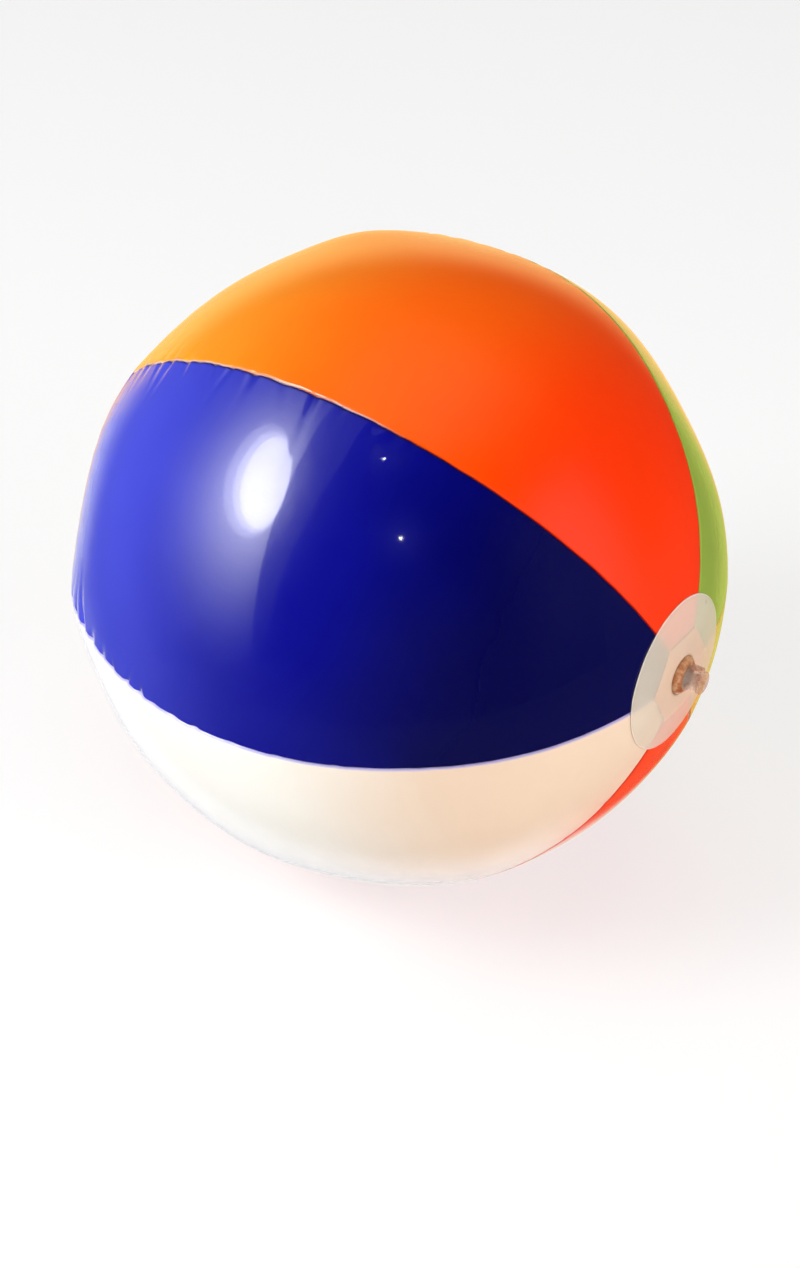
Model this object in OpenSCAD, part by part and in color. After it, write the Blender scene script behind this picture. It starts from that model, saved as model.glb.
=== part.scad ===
// Inflatable beach ball: six welded film panels, a welded disc on each pole and a pop-out air valve.
// The ball lies with its poles level, on the middle of the red panel. X runs along the poles towards
// the valve, Z is up, and the origin is the middle of the flat that the ball presses on the floor.

/* [Ball] */
// Diameter across the middles of two facing panels
ball_d = 320; // [260:2:420]
// How far a seam stands out past the middles of its panels at the widest place
seam_rise = 3; // [1:0.1:6]
// Thickness of the panel film
film_t = 0.3; // [0.2:0.05:0.6]
// Depth of the welded margin that a seam turns inside
margin_w = 4; // [2:0.5:8]
// Length of the flat that the ball's weight presses on the floor
contact_l = 28; // [16:1:40]

/* [End discs] */
// Thickness of the disc film
disc_t = 0.3; // [0.2:0.05:0.6]
// Width of the weld between a disc and the panel tips
disc_lap = 18.5; // [10:0.5:30]
// Room between the valve's weld ring and the panel tips
tip_room = 4.5; // [2:0.5:10]

/* [Valve] */
// Diameter of the port inside the weld ring
port_d = 19.2; // [17:0.2:26]
// Width of the weld ring
ring_w = 6.4; // [4:0.2:10]
// Thickness of the weld ring
ring_t = 0.8; // [0.6:0.1:1.4]
// Room between the diaphragm and the edge of the disc's hole
port_room = 0.4; // [0.2:0.1:1]
// Thickness of the flexible diaphragm
skin_t = 0.8; // [0.5:0.1:1.2]
// Outer diameter of the stem
stem_d = 10; // [9:0.2:12]
// Height of the stem's mouth above the pole, popped out
stem_out = 10; // [8:0.5:14]
// Length of the stem inside the ball
stem_in = 7; // [5:0.5:14]
// Diameter of the stem's bore
bore_d = 6.2; // [5:0.2:7]
// Diameter of the mouth of the tapered seat
mouth_d = 7.8; // [7.2:0.2:8.4]
// Length of the tapered seat
seat_l = 4; // [3:0.2:4.4]
// Width of the collar that the diaphragm bears on
collar_w = 1.4; // [1:0.1:2]
// Thickness of the collar
collar_t = 1; // [0.6:0.1:1.6]
// Height of the bead round the mouth
bead_h = 0.8; // [0.4:0.1:1.4]
// How far the bead stands out from the stem
bead_w = 0.3; // [0.1:0.1:0.5]
// Clearance between the stem and the diaphragm's inner edge
skin_gap = 0.1; // [0.05:0.05:0.3]

/* [Stopper] */
// How far the cap overhangs the stem
cap_lap = 0.5; // [0.3:0.1:1]
// Thickness of the cap
cap_t = 1.4; // [1:0.1:2]
// Width of the chamfer round the cap
cap_chamfer = 0.3; // [0.1:0.05:0.4]
// Clearance between the plug and its seat
plug_gap = 0.1; // [0.05:0.05:0.2]
// How much shorter the plug is than its seat
plug_short = 0.8; // [0.4:0.1:1.2]
// Width of the strap
strap_w = 4; // [3:0.2:5]
// Thickness of the strap
strap_t = 0.8; // [0.5:0.1:1]
// Room between the strap and the cap's edge
strap_room = 1.5; // [1.2:0.1:3]

/* [Check flap] */
// Thickness of the flap
flap_t = 0.5; // [0.3:0.1:0.8]
// How far the flap laps past the bore
flap_lap = 0.7; // [0.4:0.1:1]
// Clearance round the flap's hinge and under the flap
flap_gap = 0.05; // [0.03:0.01:0.1]
// Diameter of the flap's hinge bead
hinge_d = 0.9; // [0.6:0.1:1]
// Length of the flap's hinge bead
hinge_l = 3.6; // [3:0.2:4]

/* [Hidden] */
$fn = 128;

// Panels: each is a barrel surface whose cross arc is flatter than the ball, so the seams are ridges
panel_n = 6;
panel_turn = 360 / panel_n;
half_turn = panel_turn / 2;
panel_r = ball_d / 2;
seam_r = panel_r + seam_rise;
seam_half = seam_r * sin(half_turn);
seam_drop = panel_r - seam_r * cos(half_turn);
bow_r = (pow(seam_drop, 2) + pow(seam_half, 2)) / (2 * seam_drop);
band_half = seam_half + margin_w;
beyond = 2 * seam_r;

// Flat on the floor
centre_z = sqrt(pow(panel_r, 2) - pow(contact_l / 2, 2));

// Poles
port_r = port_d / 2;
ring_r = port_r + ring_w;
tip_r = ring_r + tip_room;
disc_r = tip_r + disc_lap;

// Dome of the discs, through the pole and the seam ridges at a disc's rim
rim_barrel = panel_r - bow_r + sqrt(pow(bow_r, 2) - pow(disc_r * sin(half_turn), 2));
rim_drop = panel_r - sqrt(pow(rim_barrel, 2) - pow(disc_r * cos(half_turn), 2));
crown_r = (pow(disc_r, 2) + pow(rim_drop, 2)) / (2 * rim_drop);

// Valve, along its own axis from the pole of the panel surface
stem_r = stem_d / 2;
bore_r = bore_d / 2;
mouth_r = mouth_d / 2;
collar_r = stem_r + collar_w;
port_drop = crown_r - sqrt(pow(crown_r, 2) - pow(port_r, 2));
land_r = stem_r + collar_w / 2;
roll_r = port_r - land_r;
roll_z = -port_drop - ring_t / 2;
skin_top = roll_z + roll_r;
collar_top = skin_top + collar_t;
seat_z = stem_out - seat_l;

// Stopper
cap_r = stem_r + bead_w + cap_lap;
plug_l = seat_l - plug_short;
plug_r = mouth_r - plug_gap;
plug_tip_r = plug_r - plug_l * (mouth_r - bore_r) / seat_l;
strap_x = cap_r + strap_room;

// Check flap, hinged in the end of the stem's wall on the upper side
hinge_r = hinge_d / 2;
hinge_x = (bore_r + stem_r) / 2;
flap_r = bore_r + flap_lap;
flap_top = -stem_in - flap_gap;

// Solid bounded by one panel's barrel surface, moved out by off; a pressed one is flat on the floor.
// The barrel's turn starts in the middle of the panel.
module panel_core(off, pressed = false) {
    top = pressed ? centre_z + off : beyond;
    intersection() {
        rotate([90, -90, 0])
            rotate_extrude()
                intersection() {
                    translate([panel_r - bow_r, 0]) circle(bow_r + off);
                    translate([0, -band_half]) square([beyond, 2 * band_half]);
                }
        translate([-beyond, -beyond, -beyond]) cube([2 * beyond, 2 * beyond, beyond + top]);
    }
}

// Wedge between two seam planes, its edge raised from the pole axis
module seam_wedge(rise = 0) {
    reach = beyond * tan(half_turn);
    translate([0, 0, rise])
        rotate([90, 0, 90])
            linear_extrude(2 * beyond, center = true)
                polygon([[0, 0], [reach, beyond], [-reach, beyond]]);
}

module pole_bar(r) {
    rotate([0, 90, 0]) cylinder(r = r, h = 2 * beyond, center = true);
}

// One panel: film all over, and a welded margin turned inside along each seam
module panel(index, pressed = false) {
    translate([0, 0, centre_z])
        rotate([index * panel_turn, 0, 0])
            difference() {
                intersection() {
                    panel_core(0, pressed);
                    seam_wedge();
                }
                intersection() {
                    panel_core(-film_t, pressed);
                    seam_wedge(film_t / sin(half_turn));
                }
                panel_core(-margin_w, pressed);
                pole_bar(tip_r);
            }
}

module panel_orange() {
    color("orangered") panel(0);
}

module panel_blue() {
    color("mediumblue") panel(1);
}

module panel_white() {
    color("antiquewhite") panel(2);
}

module panel_red() {
    color("red") panel(3, pressed = true);
}

module panel_yellow() {
    color("gold") panel(4);
}

module panel_green() {
    color("yellowgreen") panel(5);
}

// Places a piece drawn along Z on the valve's pole, with its X side up
module at_valve() {
    translate([panel_r, 0, centre_z])
        rotate([180, 0, 0])
            rotate([0, 90, 0])
                children();
}

// Ring or disc that lies on the seam ridges round a pole, from off_in to off_out
module pole_film(off_in, off_out, r_out, r_in = 0) {
    rotate_extrude()
        intersection() {
            translate([0, -crown_r])
                difference() {
                    circle(crown_r + off_out);
                    circle(crown_r + off_in);
                }
            translate([r_in, -disc_r]) square([r_out - r_in, 2 * disc_r]);
        }
}

module valve_disc() {
    color("linen") at_valve() pole_film(0, disc_t, disc_r, port_r + port_room);
}

module end_disc() {
    color("linen") mirror([1, 0, 0]) at_valve() pole_film(0, disc_t, disc_r);
}

module weld_ring() {
    color("whitesmoke") at_valve() pole_film(-ring_t, 0, ring_r, port_r);
}

// Outline of the diaphragm's outer or inner side, taken in by inset
module skin_outline(inset) {
    translate([land_r, roll_z]) circle(roll_r - inset);
    translate([0, roll_z - ring_t]) square([port_r - inset, ring_t]);
    translate([0, roll_z - ring_t]) square([land_r, ring_t + roll_r - inset]);
}

// Rolled skin that lets the stem be pushed in: a foot in the port, a quarter roll and a flat land
module valve_diaphragm() {
    foot_z = -port_drop - ring_t;
    color("whitesmoke")
        at_valve()
            rotate_extrude()
                intersection() {
                    difference() {
                        skin_outline(0);
                        skin_outline(skin_t);
                    }
                    translate([stem_r + skin_gap, foot_z]) square([port_r, skin_top - foot_z]);
                }
}

// Tube with a bearing collar, a bead round the mouth, a tapered seat and the flap's hinge groove
module valve_stem() {
    color("whitesmoke")
        at_valve()
            difference() {
                union() {
                    translate([0, 0, -stem_in]) cylinder(r = stem_r, h = stem_in + stem_out);
                    translate([0, 0, skin_top]) cylinder(r = collar_r, h = collar_t);
                    translate([0, 0, stem_out - bead_h]) cylinder(r = stem_r + bead_w, h = bead_h);
                }
                translate([0, 0, -stem_in - 1]) cylinder(r = bore_r, h = stem_in + stem_out + 2);
                translate([0, 0, seat_z]) cylinder(r1 = bore_r, r2 = mouth_r, h = seat_l);
                translate([hinge_x, 0, -stem_in])
                    rotate([90, 0, 0])
                        cylinder(r = hinge_r + flap_gap, h = hinge_l + 2 * flap_gap, center = true);
            }
}

// Cap and tapered plug in one, with an ear out to the strap
module stopper() {
    color("whitesmoke")
        at_valve()
            translate([0, 0, stem_out]) {
                rotate_extrude()
                    polygon([
                        [0, -plug_l], [plug_tip_r, -plug_l], [plug_r, 0], [cap_r, 0],
                        [cap_r, cap_t - cap_chamfer], [cap_r - cap_chamfer, cap_t], [0, cap_t]
                    ]);
                translate([0, -strap_w / 2, 0]) cube([strap_x, strap_w, strap_t]);
                translate([strap_x, 0, strap_t / 2])
                    rotate([90, 0, 0])
                        cylinder(r = strap_t / 2, h = strap_w, center = true);
            }
}

// Strap from the collar up to the cap's ear; its top end is the living hinge
module stopper_strap() {
    foot_x = stem_r + skin_gap;
    back_x = strap_x + strap_t / 2;
    color("whitesmoke")
        at_valve()
            rotate([90, 0, 0])
                linear_extrude(strap_w, center = true)
                    difference() {
                        translate([foot_x, collar_top])
                            square([back_x - foot_x, stem_out - collar_top]);
                        translate([foot_x, collar_top + strap_t])
                            square([back_x - strap_t - foot_x, stem_out]);
                    }
}

// Thin flap that closes the bore from inside, on a round hinge bead
module check_flap() {
    color("whitesmoke")
        at_valve() {
            translate([0, 0, flap_top - flap_t]) cylinder(r = flap_r, h = flap_t);
            translate([0, -hinge_l / 2, flap_top - flap_t]) cube([hinge_x, hinge_l, flap_t]);
            translate([hinge_x, 0, -stem_in])
                rotate([90, 0, 0])
                    cylinder(r = hinge_r, h = hinge_l, center = true);
        }
}

panel_orange();
panel_blue();
panel_white();
panel_red();
panel_yellow();
panel_green();
valve_disc();
end_disc();
weld_ring();
valve_diaphragm();
valve_stem();
stopper();
stopper_strap();
check_flap();
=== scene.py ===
import math

import bmesh
import bpy
import numpy as np
from mathutils import Matrix, Vector


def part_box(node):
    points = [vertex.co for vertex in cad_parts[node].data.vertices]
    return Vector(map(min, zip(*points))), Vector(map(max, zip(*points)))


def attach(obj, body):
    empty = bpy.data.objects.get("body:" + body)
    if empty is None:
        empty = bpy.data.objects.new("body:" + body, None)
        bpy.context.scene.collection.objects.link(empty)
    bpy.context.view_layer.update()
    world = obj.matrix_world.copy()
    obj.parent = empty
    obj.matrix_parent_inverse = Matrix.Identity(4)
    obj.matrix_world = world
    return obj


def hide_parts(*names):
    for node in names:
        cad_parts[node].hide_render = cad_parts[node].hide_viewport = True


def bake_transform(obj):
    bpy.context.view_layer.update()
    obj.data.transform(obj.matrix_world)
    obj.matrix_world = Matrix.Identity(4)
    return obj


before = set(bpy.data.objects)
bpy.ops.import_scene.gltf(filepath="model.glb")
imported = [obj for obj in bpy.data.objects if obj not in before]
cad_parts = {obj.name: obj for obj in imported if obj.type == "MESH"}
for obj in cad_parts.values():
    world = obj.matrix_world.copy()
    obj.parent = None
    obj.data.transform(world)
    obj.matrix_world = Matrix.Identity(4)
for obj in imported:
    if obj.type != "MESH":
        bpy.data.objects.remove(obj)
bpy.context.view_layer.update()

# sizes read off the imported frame, in metres
discLo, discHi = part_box("valve_disc")
topLo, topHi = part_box("panel_orange")
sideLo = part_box("panel_blue")[0]
stemLo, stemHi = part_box("valve_stem")
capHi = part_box("stopper")[1]
strapLo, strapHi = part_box("stopper_strap")
skinLo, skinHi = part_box("valve_diaphragm")
ringLo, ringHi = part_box("weld_ring")
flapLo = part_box("check_flap")[0]

mm = 0.001
halfTurn = math.radians(30)  # half of one panel's turn round the axis
centreZ = (discLo.z + discHi.z) / 2
panelR = topHi.z - centreZ
seamR = -sideLo.y
discR = (discHi.y - discLo.y) / 2
tipR = (topLo.z - centreZ) / math.cos(halfTurn)
ringR = (ringHi.y - ringLo.y) / 2
portR = (skinHi.y - skinLo.y) / 2
seamHalf = seamR * math.sin(halfTurn)
seamDrop = panelR - seamR * math.cos(halfTurn)
bowR = (seamDrop ** 2 + seamHalf ** 2) / (2 * seamDrop)
bowC = panelR - bowR
rimBarrel = bowC + math.sqrt(bowR ** 2 - (discR * math.sin(halfTurn)) ** 2)
rimDrop = panelR - math.sqrt(rimBarrel ** 2 - (discR * math.cos(halfTurn)) ** 2)
crownR = (discR ** 2 + rimDrop ** 2) / (2 * rimDrop)
rng = np.random.default_rng(20)
print("frame: ball", round(2000 * panelR, 1), "mm, discs", round(2000 * discR, 1), "mm")


# shader sockets with arithmetic
class Shade:
    def __init__(self, tree, socket=None):
        self.tree = tree
        self.socket = socket

    def add(self, kind, settings=None, sockets=None, out=0):
        made = self.tree.nodes.new(kind)
        for key, value in (settings or {}).items():
            setattr(made, key, value)
        for key, value in (sockets or {}).items():
            if isinstance(value, Shade):
                self.tree.links.new(value.socket, made.inputs[key])
            else:
                made.inputs[key].default_value = value
        return Shade(self.tree, made.outputs[out]) if len(made.outputs) else Shade(self.tree)

    def maths(self, operation, a, b=0.0):
        return self.add("ShaderNodeMath", {"operation": operation}, {0: a, 1: b})

    def __add__(self, other):
        return self.maths("ADD", self, other)

    def __radd__(self, other):
        return self.maths("ADD", other, self)

    def __sub__(self, other):
        return self.maths("SUBTRACT", self, other)

    def __rsub__(self, other):
        return self.maths("SUBTRACT", other, self)

    def __mul__(self, other):
        return self.maths("MULTIPLY", self, other)

    def __rmul__(self, other):
        return self.maths("MULTIPLY", other, self)

    def __truediv__(self, other):
        return self.maths("DIVIDE", self, other)

    def __rtruediv__(self, other):
        return self.maths("DIVIDE", other, self)

    def __pow__(self, other):
        return self.maths("POWER", self, other)

    def span(self, low, high):
        return self.add("ShaderNodeMapRange", {"interpolation_type": "SMOOTHSTEP"},
                        {"Value": self, "From Min": low, "From Max": high})

    def tint(self, first, second):
        return self.add("ShaderNodeMix", {"data_type": "RGBA"}, {0: self, 6: first, 7: second}, 2)

    def noise(self, vector, scale, detail=2.0, rough=0.5):
        return self.add("ShaderNodeTexNoise", None,
                        {"Vector": vector, "Scale": scale, "Detail": detail, "Roughness": rough}, "Fac")

    def rays(self, kind):
        return self.add("ShaderNodeLightPath", out=kind)

    def bump(self, height, strength, distance):
        return self.add("ShaderNodeBump", None,
                        {"Strength": strength, "Distance": distance, "Height": height})


def srgb(r, g, b):
    def lin(c):
        c = c / 255
        return c / 12.92 if c <= 0.04045 else ((c + 0.055) / 1.055) ** 2.4
    return (lin(r), lin(g), lin(b), 1.0)


def newMaterial(name):
    material = bpy.data.materials.new(name)
    material.use_nodes = True
    material.node_tree.nodes.clear()
    return material, Shade(material.node_tree)


def finishMaterial(s, sockets):
    shader = s.add("ShaderNodeBsdfPrincipled", None, sockets)
    s.add("ShaderNodeOutputMaterial", None, {"Surface": shader})


def addObject(name, bm, material, smooth=True):
    mesh = bpy.data.meshes.new(name)
    for face in bm.faces:
        face.smooth = smooth
    bm.to_mesh(mesh)
    bm.free()
    made = bpy.data.objects.new(name, mesh)
    made.data.materials.append(material)
    bpy.context.scene.collection.objects.link(made)
    return made


def smooth01(x):
    x = np.clip(x, 0, 1)
    return x * x * (3 - 2 * x)


# film shape: distance from the ball's middle, by angle from the valve's pole and angle round it
def barrel(theta, phi):
    side = np.sin(theta) * np.sin(phi)
    return bowC * np.sqrt(1 - side ** 2) + np.sqrt(bowR ** 2 - (bowC * side) ** 2)


# broad dents and swells of the blown-up film: pole angle, angle round, height, width
swells = [
    (51, 304, -3.2, 17), (90, 327, -2.4, 14), (112, 341, 2.2, 9), (144, 41, 1.6, 12),
    (134, 93, 2.6, 9), (74, 139, -2.0, 18), (22, 209, 1.2, 12),
]

# gathers where the weld pulls the film in, calmer toward the valve
puckers = {
    "step": (9.5 * mm, 15 * mm), "calmStep": (22 * mm, 44 * mm),
    "width": (2.0 * mm, 4.2 * mm), "depth": (0.3 * mm, 1.3 * mm),
    "reach": (3 * mm, 8 * mm), "lean": (-0.5, 0.5), "rim": 0.9,
    "calmFrom": -50 * mm, "calmOver": 150 * mm, "calmWider": 0.4, "calmFlatter": 0.82,
    "pull": [(0.4, 1.0), (1.35, 0.8)] + [(1.0, 0.8)] * 4,  # share of the depth on both sides of each seam
}

# soft gathers halfway to the valve between orange and blue: place, width and depth in mm
midway = {
    "list": [(44, 3.4, 0.3), (54, 4.0, 0.6), (62, 3.2, 0.4), (72, 3.4, 0.25)],
    "reach": (10 * mm, 4.5 * mm), "lean": (0.3, -0.3),
}

# sideways waver of a seam, small ripples of the film, and fine creases round the far end
waver = {"waves": 5, "scale": (150, 420), "size": 0.7 * mm, "reach": 9 * mm,
         "calmFrom": -110 * mm, "calmOver": 170 * mm, "calmLess": 0.8}
ripple = {"count": 14, "scale": (60, 150), "height": 0.07 * mm, "stretch": 0.6}
crease = {"count": 6, "folds": (34, 90), "height": 0.035 * mm, "from": 1.75, "over": 0.95, "bend": (3, 9)}
calmRim = {"from": 1.5 * mm, "over": 26 * mm}  # band round the end discs in which the film grows calm
fullTurn = 6.28


def seamPuckers(index):
    found = []
    at = -0.5 * math.pi * seamR + discR
    end = 0.5 * math.pi * seamR - discR
    while at < end:
        calm = float(smooth01((at - puckers["calmFrom"]) / puckers["calmOver"]))
        found.append({
            "at": at,
            "width": rng.uniform(*puckers["width"]) * (1 + puckers["calmWider"] * calm),
            "depth": rng.uniform(*puckers["depth"]) * (1 - puckers["calmFlatter"] * calm),
            "reach": rng.uniform(*puckers["reach"], 2),
            "lean": rng.uniform(*puckers["lean"], 2),
        })
        step = rng.uniform(*puckers["step"]) * (1 - calm) + rng.uniform(*puckers["calmStep"]) * calm
        at += step
    waves = [(rng.uniform(*waver["scale"]), rng.uniform(0, fullTurn), rng.uniform(0.4, 1))
             for i in range(waver["waves"])]
    return {"gathers": found, "waves": waves, "pull": puckers["pull"][index]}


seams = [seamPuckers(i) for i in range(6)]
for at, width, depth in midway["list"]:
    seams[0]["gathers"].append({"at": at * mm, "width": width * mm, "depth": depth * mm,
                                "reach": midway["reach"], "lean": midway["lean"]})
ripples = [(rng.normal(size=3), rng.uniform(*ripple["scale"]), rng.uniform(0, fullTurn))
           for i in range(ripple["count"])]
creases = [(rng.uniform(0, fullTurn), int(rng.integers(*crease["folds"])), rng.uniform(0.4, 1))
           for i in range(crease["count"])]


def waverOf(seam, along, dist):
    total = sum(w * np.sin(k * along + p) for k, p, w in seam["waves"]) / (0.5 * waver["waves"])
    calm = smooth01((along - waver["calmFrom"]) / waver["calmOver"])
    return waver["size"] * total * (1 - waver["calmLess"] * calm) * np.exp(-dist / waver["reach"])


def discFade(theta):
    return smooth01((panelR * np.sin(theta) - discR - calmRim["from"]) / calmRim["over"])


def filmRise(theta, around, near, far, nearD, farD):
    # height added to the plain film; near and far are the two seams and the distances to them
    along = (0.5 * math.pi - theta) * seamR
    rise = np.zeros_like(theta)
    for seam, dist, side in ((near, nearD, 0), (far, farD, 1)):
        for g in seam["gathers"]:
            x = (along - g["at"] - g["lean"][side] * dist) / g["width"]
            fold = (1 - puckers["rim"] * x ** 2) * np.exp(-x ** 2 - dist / g["reach"][side])
            rise -= seam["pull"][side] * g["depth"] * fold
    direction = np.stack([np.cos(theta), -np.sin(theta) * np.sin(around), np.sin(theta) * np.cos(around)], 1)
    for pole, turn, height, width in swells:
        p, t = math.radians(pole), math.radians(turn)
        middle = np.array([math.cos(p), -math.sin(p) * math.sin(t), math.sin(p) * math.cos(t)])
        apart = np.degrees(np.arccos(np.clip(direction @ middle, -1, 1)))
        rise += height * mm * np.exp(-(apart / width) ** 2)
    for axis, scale, phase in ripples:
        way = direction @ (axis / np.linalg.norm(axis))
        rise += ripple["height"] * np.sin(scale * way * panelR * ripple["stretch"] + phase)
    farEnd = smooth01((theta - crease["from"]) / crease["over"])
    bend, bends = crease["bend"]
    for phase, count, size in creases:
        wave = np.sin(count * around + phase + bend * np.sin(bends * theta + phase))
        rise += crease["height"] * size * farEnd * wave
    return rise * discFade(theta)


panel = {
    "film": 0.3 * mm, "lip": 1.15 * mm, "margin": 3.6 * mm, "gap": 0.05 * mm,
    "along": 400, "across": 96, "flatAt": 0.82, "lipAt": 0.94, "crowd": 1.55,
    # the next line gives the widths of the painted highlight on the near lip and the painted shade in the far
    # groove, and the shade's share
    "highlightWidth": 0.5 * mm, "grooveShadeWidth": 1.8 * mm, "darkShare": 0.6, "overFloor": 0.02 * mm,
}
panelNames = ["orange", "blue", "white", "red", "yellow", "green"]


def panelMesh(index):
    bm = bmesh.new()
    bmesh.ops.create_grid(bm, x_segments=panel["along"], y_segments=panel["across"], size=1)
    flat = np.array([v.co[:2] for v in bm.verts])
    t, q = flat[:, 0], flat[:, 1]
    tip = math.asin(tipR / panelR)
    theta = 0.5 * math.pi - t * (0.5 * math.pi - tip)
    h, side = np.abs(q), np.where(q < 0, -1.0, 1.0)
    a, b = panel["flatAt"], panel["lipAt"]
    roll = np.clip((h - a) / (b - a), 0, 1) * 0.5 * math.pi
    phi = halfTurn * h
    for i in range(3):  # the reach changes with phi, and settles in a few rounds
        reach = barrel(theta, phi) * np.sin(theta)
        share = np.clip(1 - h / a, 0, 1) ** panel["crowd"]
        apart = panel["lip"] + (reach * math.sin(halfTurn) - panel["lip"]) * share
        apart = np.where(h > a, panel["lip"] * (1 - np.sin(roll)), apart) + panel["gap"] * (h > a)
        phi = halfTurn - np.arcsin(np.clip(apart / reach, 0, 0.5))
    depth = panel["lip"] * (1 - np.cos(roll))
    depth += (panel["margin"] - panel["lip"]) * np.clip((h - b) / (1 - b), 0, 1)
    phi = phi * side
    nearSeam, farSeam = seams[index], seams[(index - 1) % 6]
    nearD = np.clip(reach * np.sin(halfTurn - phi), 0, 1)
    farD = np.clip(reach * np.sin(halfTurn + phi), 0, 1)
    along = (0.5 * math.pi - theta) * seamR
    sway = waverOf(nearSeam, along, nearD) + waverOf(farSeam, along, farD)
    around = 2 * halfTurn * index + phi
    dist = barrel(theta, phi) - depth + filmRise(theta, around, nearSeam, farSeam, nearD, farD)
    around = around + sway * discFade(theta) / reach
    ring = dist * np.sin(theta)
    spots = np.stack([dist * np.cos(theta), -ring * np.sin(around), centreZ + ring * np.cos(around)], 1)
    spots[:, 2] = np.maximum(spots[:, 2], panel["overFloor"])
    # painted highlight on the lip by the near seam, less painted shade in the groove by the far seam, stored
    # in the lip attribute
    lipHighlightShade = np.exp(-(nearD / panel["highlightWidth"]) ** 2)
    lipHighlightShade -= panel["darkShare"] * np.exp(-(farD / panel["grooveShadeWidth"]) ** 2)
    for v, p in zip(bm.verts, spots):
        v.co = p
    bm.normal_update()
    face = max(bm.faces, key=lambda f: f.calc_area())
    if face.normal.dot(face.calc_center_median() - Vector((0, 0, centreZ))) < 0:
        bmesh.ops.reverse_faces(bm, faces=bm.faces[:])
    layer = bm.verts.layers.float.new("lip")
    for v, w in zip(bm.verts, lipHighlightShade):
        v[layer] = w
    bm.normal_update()
    bmesh.ops.solidify(bm, geom=bm.faces[:], thickness=panel["film"])
    for v in bm.verts:
        v.co.z = max(v.co.z, panel["overFloor"])
    return bm


# film colours run from the far pole over the middle to the valve's pole. The middle is the film's own colour;
# the paler far end is painted light and the deeper valve end painted shade, on the white a peach painted warm
# light.
paintedLightFilmColours = {
    "orange": [srgb(255, 182, 48), srgb(255, 98, 3), srgb(255, 54, 0)],
    "blue": [srgb(80, 88, 228), srgb(6, 9, 140), srgb(1, 1, 70)],
    "white": [srgb(252, 252, 250), srgb(252, 250, 242), srgb(243, 214, 187)],
    "red": [srgb(250, 88, 48), srgb(252, 62, 20), srgb(255, 64, 18)],
    "yellow": [srgb(252, 214, 120), srgb(246, 196, 84), srgb(240, 190, 92)],
    "green": [srgb(176, 200, 96), srgb(150, 182, 66), srgb(150, 174, 66)],
}
# painted shade lines along the far seam's groove: lavender on the white, dark red on the red, a darker film
# colour elsewhere
seamShadeColours = {"white": srgb(176, 168, 228), "red": srgb(206, 44, 16)}
film = {
    "rough": 0.24, "roughSmear": 0.12, "coat": 0.9, "coatSmear": 0.25, "coatRough": 0.05,
    "ior": 1.5, "gloss": 0.3, "bump": 0.05, "bumpH": 0.001,
    "cloud": (14, 3, 0.55), "breakupNoise": (60, 2, 0.6), "smear": (26, 4, 0.65),
    "fine": (900, 2, 0.5), "coarse": (160, 2, 0.5), "coarseShare": 1.5,
    "farSpan": (0.06, 0.62), "nearSpan": (0.56, 0.88), "mottle": 0.1,
    # pale is a painted highlight on the seam lip, dark a painted shade in the seam groove
    "pale": (0.22, 0.76), "paleSpan": (0.7, 0.58), "steadyHighlight": 0.3,
    "dark": 0.16, "darkShare": 0.85, "darkFrom": -0.1, "darkFromWhite": -0.3, "darkFull": -0.6,
}


def filmMaterial(name):
    material, s = newMaterial("film " + name)
    point = s.add("ShaderNodeTexCoord", out="Object")
    x = s.add("ShaderNodeSeparateXYZ", None, {0: point}, "X")
    cloud = s.noise(point, *film["cloud"])
    along = x / (2 * panelR) + 0.5 + (cloud - 0.5) * film["mottle"]
    far, middle, near = paintedLightFilmColours[name]
    # over the film's own middle colour, painted light toward the far pole and painted shade toward the
    # valve's pole
    colour = along.span(*film["farSpan"]).tint(far, middle)
    colour = along.span(*film["nearSpan"]).tint(colour, near)
    # the lip attribute: painted highlight where positive, painted shade where negative
    lip = s.add("ShaderNodeAttribute", {"attribute_name": "lip"}, None, "Fac")
    share, white = film["pale"]
    pale = tuple(share * c + white for c in middle[:3]) + (1.0,)
    dark = seamShadeColours.get(name, tuple(film["dark"] * c for c in middle[:3]) + (1.0,))
    # noise that breaks up the painted highlight along the lip
    highlightBreakup = s.noise(point, *film["breakupNoise"]).span(0.3, 0.65)
    shown = lip.span(0.1, 1.0) * (film["steadyHighlight"] + highlightBreakup * (1 - film["steadyHighlight"]))
    if name != "blue":
        shown = shown * along.span(*film["paleSpan"])
    colour = shown.tint(colour, pale)
    # painted shade in the groove along the far seam
    darkFrom = film["darkFromWhite" if name == "white" else "darkFrom"]
    colour = (lip.span(darkFrom, film["darkFull"]) * film["darkShare"]).tint(colour, dark)
    smear = s.noise(point, *film["smear"]) - 0.5
    peel = s.noise(point, *film["fine"]) + s.noise(point, *film["coarse"]) * film["coarseShare"]
    finishMaterial(s, {
        "Base Color": colour, "Roughness": film["rough"] + smear * film["roughSmear"],
        "Normal": s.bump(peel, film["bump"], film["bumpH"]),
        "Coat Weight": film["coat"] - smear * film["coatSmear"], "Coat Roughness": film["coatRough"],
        "IOR": film["ior"], "Specular IOR Level": film["gloss"],
    })
    return material


for index, name in enumerate(panelNames):
    made = addObject("panel" + name.capitalize(), panelMesh(index), filmMaterial(name))
    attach(made, "shell")
    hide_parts("panel_" + name)
    "film_" + name
print("panels made")


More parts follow.
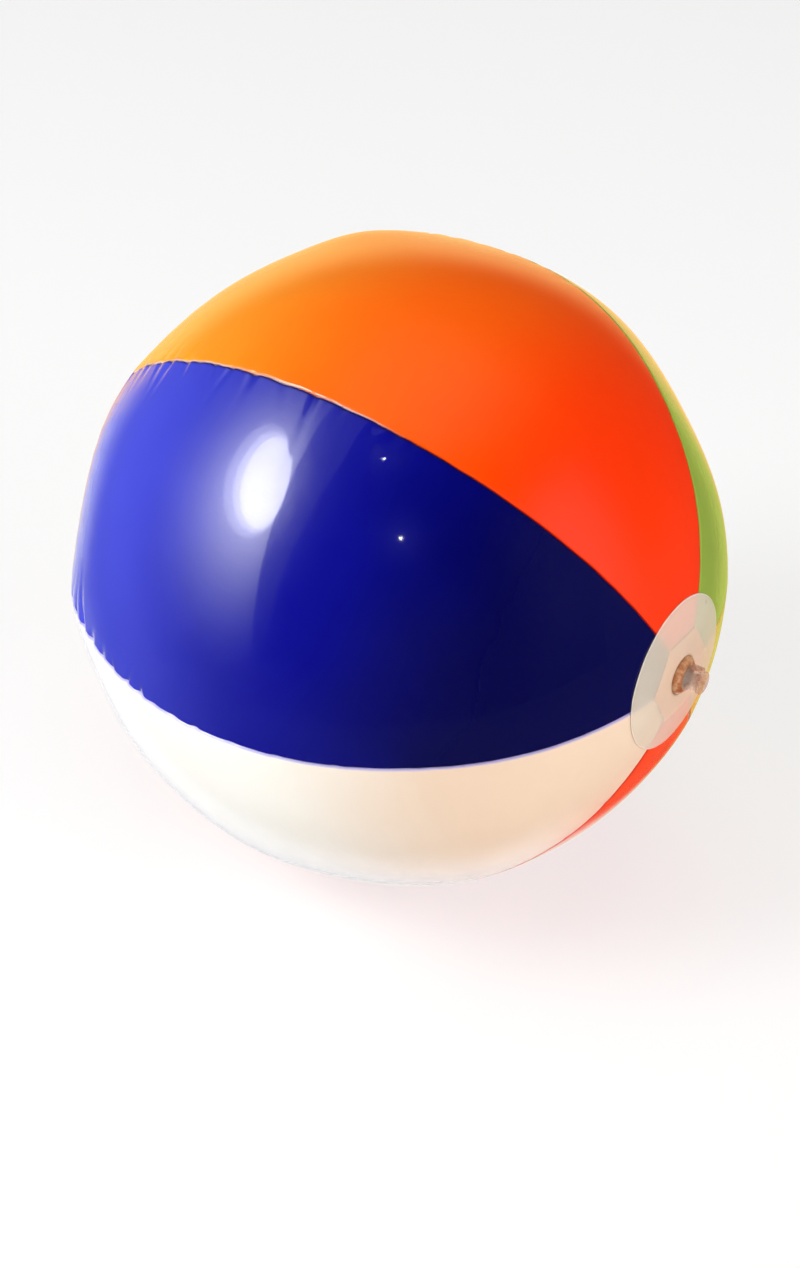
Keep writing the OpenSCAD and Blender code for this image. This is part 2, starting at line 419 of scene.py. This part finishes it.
# turned pieces: outline points along the valve's axis and out from it, with a corner radius each
def rounded(outline, closed=True, steps=5):
    made = []
    count = len(outline)
    for i, (x, r, radius) in enumerate(outline):
        here = np.array([x, r])
        if radius <= 0 or (not closed and i in (0, count - 1)):
            made.append(here)
            continue
        before = np.array(outline[i - 1][:2]) - here
        after = np.array(outline[(i + 1) % count][:2]) - here
        lb, la = np.linalg.norm(before), np.linalg.norm(after)
        before, after = before / lb, after / la
        corner = 0.5 * math.acos(np.clip(before @ after, -0.999, 0.999))
        cut = min(radius / math.tan(corner), 0.48 * lb, 0.48 * la)
        start, end = here + before * cut, here + after * cut
        for k in range(steps + 1):
            f = k / steps
            made.append((1 - f) ** 2 * start + 2 * f * (1 - f) * here + f ** 2 * end)
    return made


def spun(points, closed=True, steps=128):
    bm = bmesh.new()
    verts = [bm.verts.new((p[0], 0, p[1])) for p in points]
    pairs = list(zip(verts, verts[1:])) + ([(verts[-1], verts[0])] if closed else [])
    edges = [bm.edges.new(p) for p in pairs]
    bmesh.ops.spin(bm, geom=verts + edges, angle=2 * math.pi, steps=steps, axis=(1, 0, 0),
                   cent=(0, 0, 0), use_merge=True)
    bmesh.ops.remove_doubles(bm, verts=bm.verts[:], dist=1e-7)
    bmesh.ops.recalc_face_normals(bm, faces=bm.faces[:])
    bmesh.ops.translate(bm, verts=bm.verts[:], vec=(0, 0, centreZ))
    return bm


def dome(r, lift):
    return panelR - crownR + math.sqrt((crownR + lift) ** 2 - r * r)


# welded end discs: milky film that the panel tips show through
disc = {
    "film": 0.34 * mm, "lift": 0.1 * mm, "hole": 10 * mm, "rings": 26, "steps": 180, "inset": 0.12 * mm,
    "weld": 8 * mm, "wave": 0.12 * mm, "rim": 0.7 * mm, "rimCover": 0.25, "veil": 0.44,
    "tipBlur": 0.5 * mm, "tipMottle": 2 * mm, "cloud": (45, 3, 0.55), "peel": (700, 2, 0.5),
    "milk": (srgb(226, 197, 173), srgb(220, 188, 163)), "rimHighlight": srgb(246, 234, 218),
    "thin": (srgb(249, 235, 216), srgb(245, 228, 207)), "rough": 0.3, "bump": 0.06, "bumpH": 0.001,
}


def discMesh(hole, flip):
    outer, inner = [], []
    for k in range(disc["rings"] + 1):
        r = hole + (discR - disc["inset"] - hole) * k / disc["rings"]
        outer.append((dome(r, disc["lift"] + disc["film"]), r))
        inner.append((dome(r, disc["lift"]), r))
    edge = [(dome(discR, disc["lift"] + share * disc["film"]), discR) for share in (0.75, 0.25)]
    bm = spun(outer + edge + inner[::-1], closed=hole > 0, steps=disc["steps"])
    for v in bm.verts:
        r = math.hypot(v.co.y, v.co.z - centreZ)
        turn = math.atan2(-v.co.y, v.co.z - centreZ)
        weld = smooth01((r - tipR) / disc["weld"])
        wave = 0.5 + 0.25 * math.sin(7 * turn + 1) + 0.25 * math.sin(13 * turn)
        v.co.x += disc["wave"] * wave * weld
        if flip:
            v.co.x = -v.co.x
    if flip:
        bmesh.ops.reverse_faces(bm, faces=bm.faces[:])
    return bm


def discMaterial():
    material, s = newMaterial("disc film")
    point = s.add("ShaderNodeTexCoord", out="Object")
    y = s.add("ShaderNodeSeparateXYZ", None, {0: point}, "Y")
    z = s.add("ShaderNodeSeparateXYZ", None, {0: point}, "Z") - centreZ
    r = (y * y + z * z) ** 0.5
    cloud = s.noise(point, *disc["cloud"])
    # the panel tips end on straight lines, a hexagon under the disc
    ends = [s.maths("ABSOLUTE", z * math.cos(a) - y * math.sin(a)) for a in (0, 2 * halfTurn, 4 * halfTurn)]
    end = s.maths("MAXIMUM", s.maths("MAXIMUM", ends[0], ends[1]), ends[2])
    end = end + (cloud - 0.5) * disc["tipMottle"]
    veil = end.span(tipR - disc["tipBlur"], tipR + disc["tipBlur"])
    # painted highlight along the disc's rim, where the film also grows more opaque
    rim = r.span(discR - disc["rim"], discR - 0.5 * disc["rim"])
    mottle = cloud.span(0.3, 0.75)
    colour = rim.tint(veil.tint(mottle.tint(*disc["milk"]), mottle.tint(*disc["thin"])), disc["rimHighlight"])
    finishMaterial(s, {
        "Base Color": colour, "Roughness": disc["rough"] + (cloud - 0.5) * 0.15,
        "Normal": s.bump(s.noise(point, *disc["peel"]), disc["bump"], disc["bumpH"]),
        "Alpha": 1 - veil * (1 - disc["veil"]) + rim * disc["rimCover"],
        "IOR": 1.5, "Coat Weight": 0.25, "Coat Roughness": 0.1,
    })
    return material


milky = discMaterial()
for name, hole, flip in (("valve_disc", disc["hole"], False), ("end_disc", 0.0, True)):
    made = addObject("valveDisc" if hole else "endDisc", discMesh(hole, flip), milky)
    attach(made, "shell")
    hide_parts(name)
print("discs made")


# clear soft vinyl of the valve
vinyl = {
    "rough": 0.12, "ior": 1.5, "coat": 0.5, "coatRough": 0.05, "bump": 0.12, "bumpH": 0.0004,
    "cloud": (260, 3, 0.6), "swirl": (500, 3, 0.5), "roughMottle": 0.1, "coverMottle": 0.3,
}


def vinylMaterial(name, pale, deep, cover):
    material, s = newMaterial(name)
    point = s.add("ShaderNodeTexCoord", out="Object")
    cloud = s.noise(point, *vinyl["cloud"])
    finishMaterial(s, {
        "Base Color": cloud.span(0.35, 0.65).tint(pale, deep),
        "Roughness": vinyl["rough"] + (cloud - 0.5) * vinyl["roughMottle"],
        "Normal": s.bump(s.noise(point, *vinyl["swirl"]), vinyl["bump"], vinyl["bumpH"]),
        "Alpha": cover + (cloud - 0.5) * vinyl["coverMottle"],
        "IOR": vinyl["ior"], "Coat Weight": vinyl["coat"], "Coat Roughness": vinyl["coatRough"],
    })
    return material


clearVinyl = vinylMaterial("clear vinyl", srgb(255, 240, 226), srgb(240, 206, 182), 0.3)
capVinyl = vinylMaterial("cap vinyl", srgb(236, 190, 160), srgb(206, 142, 112), 0.45)
warmVinyl = vinylMaterial("warm vinyl", srgb(243, 192, 144), srgb(194, 110, 66), 0.7)


def place(made, body, node):
    if body:
        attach(made, body)
    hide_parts(node)
    return made


def merged(name, first, second, operation, material):
    # one solid out of two, by a boolean worked in millimetres and then taken as the mesh
    for bm in (first, second):
        bmesh.ops.scale(bm, vec=(1 / mm, 1 / mm, 1 / mm), verts=bm.verts[:])
        bmesh.ops.recalc_face_normals(bm, faces=bm.faces[:])
        if bm.calc_volume(signed=True) < 0:
            bmesh.ops.reverse_faces(bm, faces=bm.faces[:])
    a = addObject(name, first, material)
    b = addObject(name + "Tool", second, material)
    change = a.modifiers.new("cut", "BOOLEAN")
    change.operation = operation
    change.object = b
    change.solver = "EXACT"
    whole = bpy.data.meshes.new_from_object(a.evaluated_get(bpy.context.evaluated_depsgraph_get()))
    whole.transform(Matrix.Scale(mm, 4))
    a.modifiers.clear()
    a.data = whole
    bpy.data.objects.remove(b)
    for face in whole.polygons:
        face.use_smooth = True
    whole.set_sharp_from_angle(angle=math.radians(40))
    return a


def rod(x, z, r, length):
    # round bar across the valve, along Y
    bm = bmesh.new()
    bmesh.ops.create_cone(bm, cap_ends=True, segments=32, radius1=r, radius2=r, depth=length)
    for v in bm.verts:
        v.co = (x + v.co.x, v.co.z, centreZ + z + v.co.y)
    bmesh.ops.recalc_face_normals(bm, faces=bm.faces[:])
    return bm


# stem with bore, tapered seat, mouth bead, collar and the groove for the flap's hinge
stem = {
    "r": 5 * mm, "bore": 3.1 * mm, "mouth": 3.9 * mm, "seat": 4 * mm, "bead": 5.3 * mm, "beadH": 0.8 * mm,
    "collarT": 1 * mm, "hingeAt": 4.05 * mm, "grooveR": 0.5 * mm, "grooveL": 3.7 * mm,
}
collarR = (stemHi.y - stemLo.y) / 2
skinTop = skinHi.x
outline = [
    (stemLo.x, stem["r"], 0.2 * mm), (skinTop, stem["r"], 0), (skinTop, collarR, 0.3 * mm),
    (skinTop + stem["collarT"], collarR, 0.3 * mm), (skinTop + stem["collarT"], stem["r"], 0.25 * mm),
    (stemHi.x - stem["beadH"], stem["r"], 0.2 * mm), (stemHi.x - stem["beadH"], stem["bead"], 0.2 * mm),
    (stemHi.x, stem["bead"], 0.25 * mm), (stemHi.x, stem["mouth"], 0.1 * mm),
    (stemHi.x - stem["seat"], stem["bore"], 0), (stemLo.x, stem["bore"], 0.1 * mm),
]
groove = rod(stemLo.x, stem["hingeAt"], stem["grooveR"], stem["grooveL"])
made = merged("valveStem", spun(rounded(outline)), groove, "DIFFERENCE", clearVinyl)
place(made, "valve", "valve_stem")

# stopper: cap with a dimple, tapered plug and the ear that the strap joins
cap = {
    "r": 5.8 * mm, "t": 1.4 * mm, "plugL": 3.2 * mm, "plugR": 3.8 * mm, "tipR": 3.16 * mm,
    "dimpleR": 1.9 * mm, "dimpleFloor": 1.2 * mm, "dimple": 0.3 * mm,
    "earT": 0.8 * mm, "earW": 4 * mm, "earFrom": 3.9 * mm, "earEdge": 0.3 * mm,
}
capX = capHi.x - cap["t"]
earL = capHi.z - centreZ - cap["earFrom"]
dimpleX = capHi.x - cap["dimple"]
outline = [
    (capX - cap["plugL"], 0, 0), (capX - cap["plugL"], cap["tipR"], 0.4 * mm), (capX, cap["plugR"], 0.1 * mm),
    (capX, cap["r"], 0.15 * mm), (capHi.x, cap["r"], 0.55 * mm), (capHi.x, cap["dimpleR"], 0.5 * mm),
    (dimpleX, cap["dimpleFloor"], 0.4 * mm), (dimpleX, 0, 0),
]
ear = bmesh.new()
bmesh.ops.create_cube(ear, size=1)
for v in ear.verts:
    v.co = (capX + (v.co.x + 0.5) * cap["earT"], v.co.y * cap["earW"],
            centreZ + cap["earFrom"] + (v.co.z + 0.5) * earL)
bmesh.ops.bevel(ear, geom=ear.edges[:], offset=cap["earEdge"], offset_type="OFFSET", segments=4,
                profile=0.5, affect="EDGES", material=-1)
made = merged("stopperCap", spun(rounded(outline, closed=False), closed=False), ear, "UNION", capVinyl)
place(made, "stopper", "stopper")

# strap: a strip bent up from the collar to the cap's ear
strap = {
    "foot": 5.15 * mm, "t": 0.8 * mm, "w": 4 * mm, "bend": 1.2 * mm, "along": 64, "round": 24,
    "squareW": 0.35, "squareT": 0.6,  # below 1 the strip's section grows squarer
}
strapX = strapLo.x + 0.5 * strap["t"]
strapZ = strapHi.z - centreZ - 0.5 * strap["t"]


def strapPath(f):
    bend = strap["bend"]
    leg = strapZ - strap["foot"] - bend
    turn = 0.5 * math.pi * bend
    rise = strapHi.x - strapX - bend
    s = f * (leg + turn + rise)
    if s < leg:
        return Vector((strapX, strap["foot"] + s)), Vector((0, 1))
    if s < leg + turn:
        a = (s - leg) / bend
        spot = Vector((strapX + bend * (1 - math.cos(a)), strapZ - bend + bend * math.sin(a)))
        return spot, Vector((math.sin(a), math.cos(a)))
    return Vector((strapX + bend + s - leg - turn, strapZ)), Vector((1, 0))


bm = bmesh.new()
bmesh.ops.create_grid(bm, x_segments=strap["along"], y_segments=strap["round"], size=1)
for v in bm.verts:
    f, turn = 0.5 + 0.5 * v.co.x, math.pi * v.co.y
    point, way = strapPath(f)
    c, s = math.cos(turn), math.sin(turn)
    wide = 0.5 * strap["w"] * math.copysign(abs(c) ** strap["squareW"], c)
    thick = 0.5 * strap["t"] * math.copysign(abs(s) ** strap["squareT"], s)
    v.co = (point.x - way.y * thick, wide, centreZ + point.y + way.x * thick)
bmesh.ops.remove_doubles(bm, verts=bm.verts[:], dist=1e-6)
bmesh.ops.holes_fill(bm, edges=[e for e in bm.edges if e.is_boundary], sides=0)
bmesh.ops.recalc_face_normals(bm, faces=bm.faces[:])
made = addObject("stopperStrap", bm, capVinyl)
place(made, None, "stopper_strap")
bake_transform(made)

# diaphragm: foot welded in the port, a quarter roll and a flat land under the collar
skin = {"t": 0.8 * mm, "land": 5.7 * mm, "hole": 5.1 * mm, "steps": 18}
rollR = portR - skin["land"]
rollX = skinHi.x - rollR
outer = [(skinLo.x, portR)]
inner = [(skinLo.x, portR - skin["t"])]
for k in range(skin["steps"] + 1):
    a = 0.5 * math.pi * k / skin["steps"]
    for side, r in ((outer, rollR), (inner, rollR - skin["t"])):
        side.append((rollX + r * math.sin(a), skin["land"] + r * math.cos(a)))
outer.append((skinHi.x, skin["hole"]))
inner.append((skinHi.x - skin["t"], skin["hole"]))
made = addObject("valveDiaphragm", spun(outer + inner[::-1]), warmVinyl)
place(made, None, "valve_diaphragm")
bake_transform(made)

# weld ring under the disc
ring = {"t": 0.8 * mm, "gap": 0.02 * mm}
outline = [
    (dome(portR, -ring["t"]), portR + ring["gap"], 0.15 * mm),
    (dome(portR, 0), portR + ring["gap"], 0.15 * mm),
    (dome(ringR, 0), ringR, 0.25 * mm), (dome(ringR, -ring["t"]), ringR, 0.25 * mm),
]
made = addObject("weldRing", spun(rounded(outline)), warmVinyl)
place(made, "shell", "weld_ring")

# check flap with its hinge bead
flap = {"r": 3.8 * mm, "t": 0.5 * mm, "hinge": 0.45 * mm, "hingeL": 3.6 * mm}
flapTop = flapLo.x + flap["t"]
outline = [
    (flapLo.x, 0, 0), (flapLo.x, flap["r"], 0.15 * mm),
    (flapTop, flap["r"], 0.15 * mm), (flapTop, 0, 0),
]
made = merged("checkFlap", spun(rounded(outline, closed=False), closed=False),
              rod(stemLo.x, stem["hingeAt"], flap["hinge"], flap["hingeL"]), "UNION", clearVinyl)
place(made, "check_flap", "check_flap")
print("valve made")

# floor, lights and camera
room = {
    "floor": 6.0, "floorGlow": 0.7, "mirrored": 0.05, "backdrop": 0.76,
    "flagR": 0.74, "flagH": 2.2, "flagFrom": -5, "flagTo": 98, "flagSteps": 48,
}
bm = bmesh.new()
bmesh.ops.create_grid(bm, x_segments=1, y_segments=1, size=room["floor"])
material, s = newMaterial("floor")
point = s.add("ShaderNodeTexCoord", out="Object")
paper = s.add("ShaderNodeBsdfPrincipled", None, {
    "Base Color": s.noise(point, 3).tint(srgb(246, 246, 246), srgb(250, 250, 250)),
    "Roughness": 0.9, "Specular IOR Level": 0.0,
})
seen = s.rays("Is Camera Ray") + s.rays("Is Transmission Ray")
white = s.add("ShaderNodeEmission", None, {"Color": (1, 1, 1, 1), "Strength": 1.0})
shown = s.add("ShaderNodeMixShader", None, {0: seen * room["floorGlow"], 1: paper, 2: white})
s.add("ShaderNodeOutputMaterial", None, {"Surface": shown})
floor = addObject("floor", bm, material, smooth=False)
floor.visible_glossy = False

middle = Vector((0, 0, centreZ))


def heading(azimuth, elevation):
    a, e = math.radians(azimuth), math.radians(elevation)
    return Vector((math.sin(a) * math.cos(e), -math.cos(a) * math.cos(e), math.sin(e)))


def facing(azimuth, elevation, roll):
    # axes of a card that faces the ball: across, up and away
    turn = heading(azimuth, elevation).to_track_quat("Z", "Y").to_matrix()
    return turn @ Matrix.Rotation(math.radians(roll), 3, "Z")


def lamp(name, azimuth, elevation, away, size, radiance, roll=0.0, shape="RECTANGLE", aside=0.0):
    data = bpy.data.lights.new(name, "AREA")
    data.shape = shape
    data.size, data.size_y = size
    area = size[0] * size[1] * (math.pi / 4 if shape == "ELLIPSE" else 1)
    data.energy = radiance * math.pi * area
    made = bpy.data.objects.new(name, data)
    bpy.context.scene.collection.objects.link(made)
    turn = facing(azimuth, elevation, roll)
    made.location = middle + turn @ Vector((aside, 0, away))
    made.rotation_mode = "QUATERNION"
    made.rotation_quaternion = turn.to_quaternion()
    made.visible_camera = False
    return made


# window of three panes, each with its size, its step aside and its radiance
window = {
    "azimuth": -34, "elevation": 39, "roll": 36, "away": 2.2, "apart": 0.02,
    "panes": [((0.62, 0.98), 0.0, 5.3), ((0.73, 1.09), -0.05, 3.7), ((0.88, 1.22), -0.12, 2.5)],
}
for pane, (size, aside, radiance) in enumerate(window["panes"]):
    away = window["away"] + window["apart"] * pane
    lamp("window" + str(pane), window["azimuth"], window["elevation"], away, size, radiance,
         window["roll"], "ELLIPSE", aside)

# soft fills that the film doesn't mirror: azimuth, elevation, radiance
fills = {
    "away": 2.4, "size": (1.8, 1.8),
    "list": {"rightFill": (98, 16, 4.5), "frontFill": (42, 0, 1.25), "topFill": (180, 80, 1.5)},
}
for name, (azimuth, elevation, radiance) in fills["list"].items():
    soft = lamp(name, azimuth, elevation, fills["away"], fills["size"], radiance)
    soft.visible_glossy = False

# lit curtain round the window, sharp along its right edge, and a dim wall behind it
cardTurn = facing(-38, 34, 25.5)
curtain = {
    "across": (-2.4, 0.59), "tall": (-2.8, 2.8), "away": 2.7, "steps": 48,
    "near": 4.2, "nearAt": (0.2, -0.08), "nearSize": (0.74, 1.05),
    "broad": 2.3, "broadAt": -0.25, "broadSize": (1.3, 1.25),
}
wall = {
    "across": (-1.4, 2.6), "tall": (-2.8, 2.0), "away": 2.8, "steps": 24,
    "level": 0.24, "fade": (-2.7, -1.0),
}


def glowCard(name, card, level):
    across, tall = card["across"], card["tall"]
    bm = bmesh.new()
    bmesh.ops.create_grid(bm, x_segments=card["steps"], y_segments=card["steps"], size=0.5)
    layer = bm.verts.layers.float.new("glow")
    for v in bm.verts:
        u = across[0] + (across[1] - across[0]) * (v.co.x + 0.5)
        w = tall[0] + (tall[1] - tall[0]) * (v.co.y + 0.5)
        v[layer] = level(u, w)
        v.co = middle + cardTurn @ Vector((u, w, card["away"]))
    material, s = newMaterial(name)
    glow = s.add("ShaderNodeAttribute", {"attribute_name": "glow"}, None, "Fac")
    shine = s.add("ShaderNodeEmission", None, {"Color": glow, "Strength": 1.0})
    s.add("ShaderNodeOutputMaterial", None, {"Surface": shine})
    made = addObject(name, bm, material)
    made.visible_camera = False


def curtainLevel(u, w):
    (cu, cw), (su, sw), (bu, bw) = curtain["nearAt"], curtain["nearSize"], curtain["broadSize"]
    return (curtain["near"] * math.exp(-((u - cu) / su) ** 2 - ((w - cw) / sw) ** 2)
            + curtain["broad"] * math.exp(-((u - cu) / bu) ** 2 - ((w - curtain["broadAt"]) / bw) ** 2))


def wallLevel(u, w):
    low, high = wall["fade"]
    return wall["level"] * float(smooth01((w - low) / (high - low)))


glowCard("curtain", curtain, curtainLevel)
glowCard("wall", wall, wallLevel)

# two small sparks
sparks = {
    "size": 0.005, "energy": 0.06,
    "list": {"sparkHigh": (0.125, -0.318, 0.780), "sparkLow": (0.307, -0.459, 0.605)},
}
for name, spot in sparks["list"].items():
    data = bpy.data.lights.new(name, "POINT")
    data.shadow_soft_size = sparks["size"]
    data.energy = sparks["energy"]
    spark = bpy.data.objects.new(name, data)
    spark.location = spot
    spark.visible_camera = False
    bpy.context.scene.collection.objects.link(spark)

# dark flag that keeps the front of the ball from reflecting the pale room
bm = bmesh.new()
bmesh.ops.create_grid(bm, x_segments=room["flagSteps"], y_segments=1, size=1)
for v in bm.verts:
    a = room["flagFrom"] + (room["flagTo"] - room["flagFrom"]) * (0.5 + 0.5 * v.co.x)
    way = heading(a, 0) * room["flagR"]
    v.co = (way.x, way.y, room["flagH"] * (0.5 + 0.5 * v.co.y))
material, s = newMaterial("flag")
point = s.add("ShaderNodeTexCoord", out="Object")
finishMaterial(s, {
    "Base Color": s.noise(point, 4).tint((0.01, 0.01, 0.012, 1), (0.016, 0.015, 0.02, 1)),
    "Roughness": 1.0, "Specular IOR Level": 0.0,
})
flag = addObject("flag", bm, material)
flag.visible_camera = flag.visible_shadow = flag.visible_diffuse = flag.visible_transmission = False

shot = {
    "azimuth": 35.4, "elevation": 35.2, "away": 8 * panelR,
    "lens": 73.2, "sensor": 36, "shift": (-0.0024, -0.058),
}

# tones that the edge of the ball mirrors, and where each begins and is full on the camera's own axes
edge = {
    "top": (1.2, 0.68, 0.22, 1), "left": (0.8, 0.8, 0.86, 1), "right": (0.55, 0.6, 0.1, 1),
    "low": (0.95, 0.9, 0.78, 1), "lowRight": (0.8, 0.08, 0.02, 1), "none": (0, 0, 0, 1),
    "lowRightSpan": (0.1, 0.3), "topSpan": (-0.15, 0.15), "leftSpan": (0.05, 0.35),
    "rightSpan": (0.05, 0.3), "rightUpSpan": (-0.25, -0.05), "behindSpan": (-0.7, -0.95), "flatten": 0.25,
}
world = bpy.data.worlds.new("room")
bpy.context.scene.world = world
world.use_nodes = True
world.node_tree.nodes.clear()
s = Shade(world.node_tree)
way = s.add("ShaderNodeTexCoord", out="Generated")
across, up, ahead = [s.add("ShaderNodeVectorMath", {"operation": "DOT_PRODUCT"}, {0: way, 1: axis}, "Value")
                     for axis in facing(shot["azimuth"], shot["elevation"], 0).col]
low = across.span(*edge["lowRightSpan"]).tint(edge["low"], edge["lowRight"])
tone = up.span(*edge["topSpan"]).tint(low, edge["top"])
tone = (0 - across - up).span(*edge["leftSpan"]).tint(tone, edge["left"])
right = (across - up).span(*edge["rightSpan"]) * up.span(*edge["rightUpSpan"])
tone = right.tint(tone, edge["right"])
behind = (ahead - s.maths("ABSOLUTE", up) * edge["flatten"]).span(*edge["behindSpan"])
back = s.add("ShaderNodeBackground", None, {"Color": behind.tint(edge["none"], tone), "Strength": 1.0})
plain = s.add("ShaderNodeBackground", None, {"Color": (1, 1, 1, 1), "Strength": room["backdrop"]})
seen = s.rays("Is Camera Ray") + s.rays("Is Transmission Ray") + s.rays("Is Glossy Ray") * room["mirrored"]
shown = s.add("ShaderNodeMixShader", None, {0: seen, 1: back, 2: plain})
s.add("ShaderNodeOutputWorld", None, {"Surface": shown})

camera = bpy.data.objects.new("camera", bpy.data.cameras.new("camera"))
bpy.context.scene.collection.objects.link(camera)
way = heading(shot["azimuth"], shot["elevation"])
camera.location = middle + way * shot["away"]
camera.rotation_mode = "QUATERNION"
camera.rotation_quaternion = (-way).to_track_quat("-Z", "Y")
camera.data.lens = shot["lens"]
camera.data.sensor_width = shot["sensor"]
camera.data.shift_x, camera.data.shift_y = shot["shift"]
bpy.context.scene.camera = camera
bpy.context.scene.view_settings.view_transform = "Standard"
print("room made")
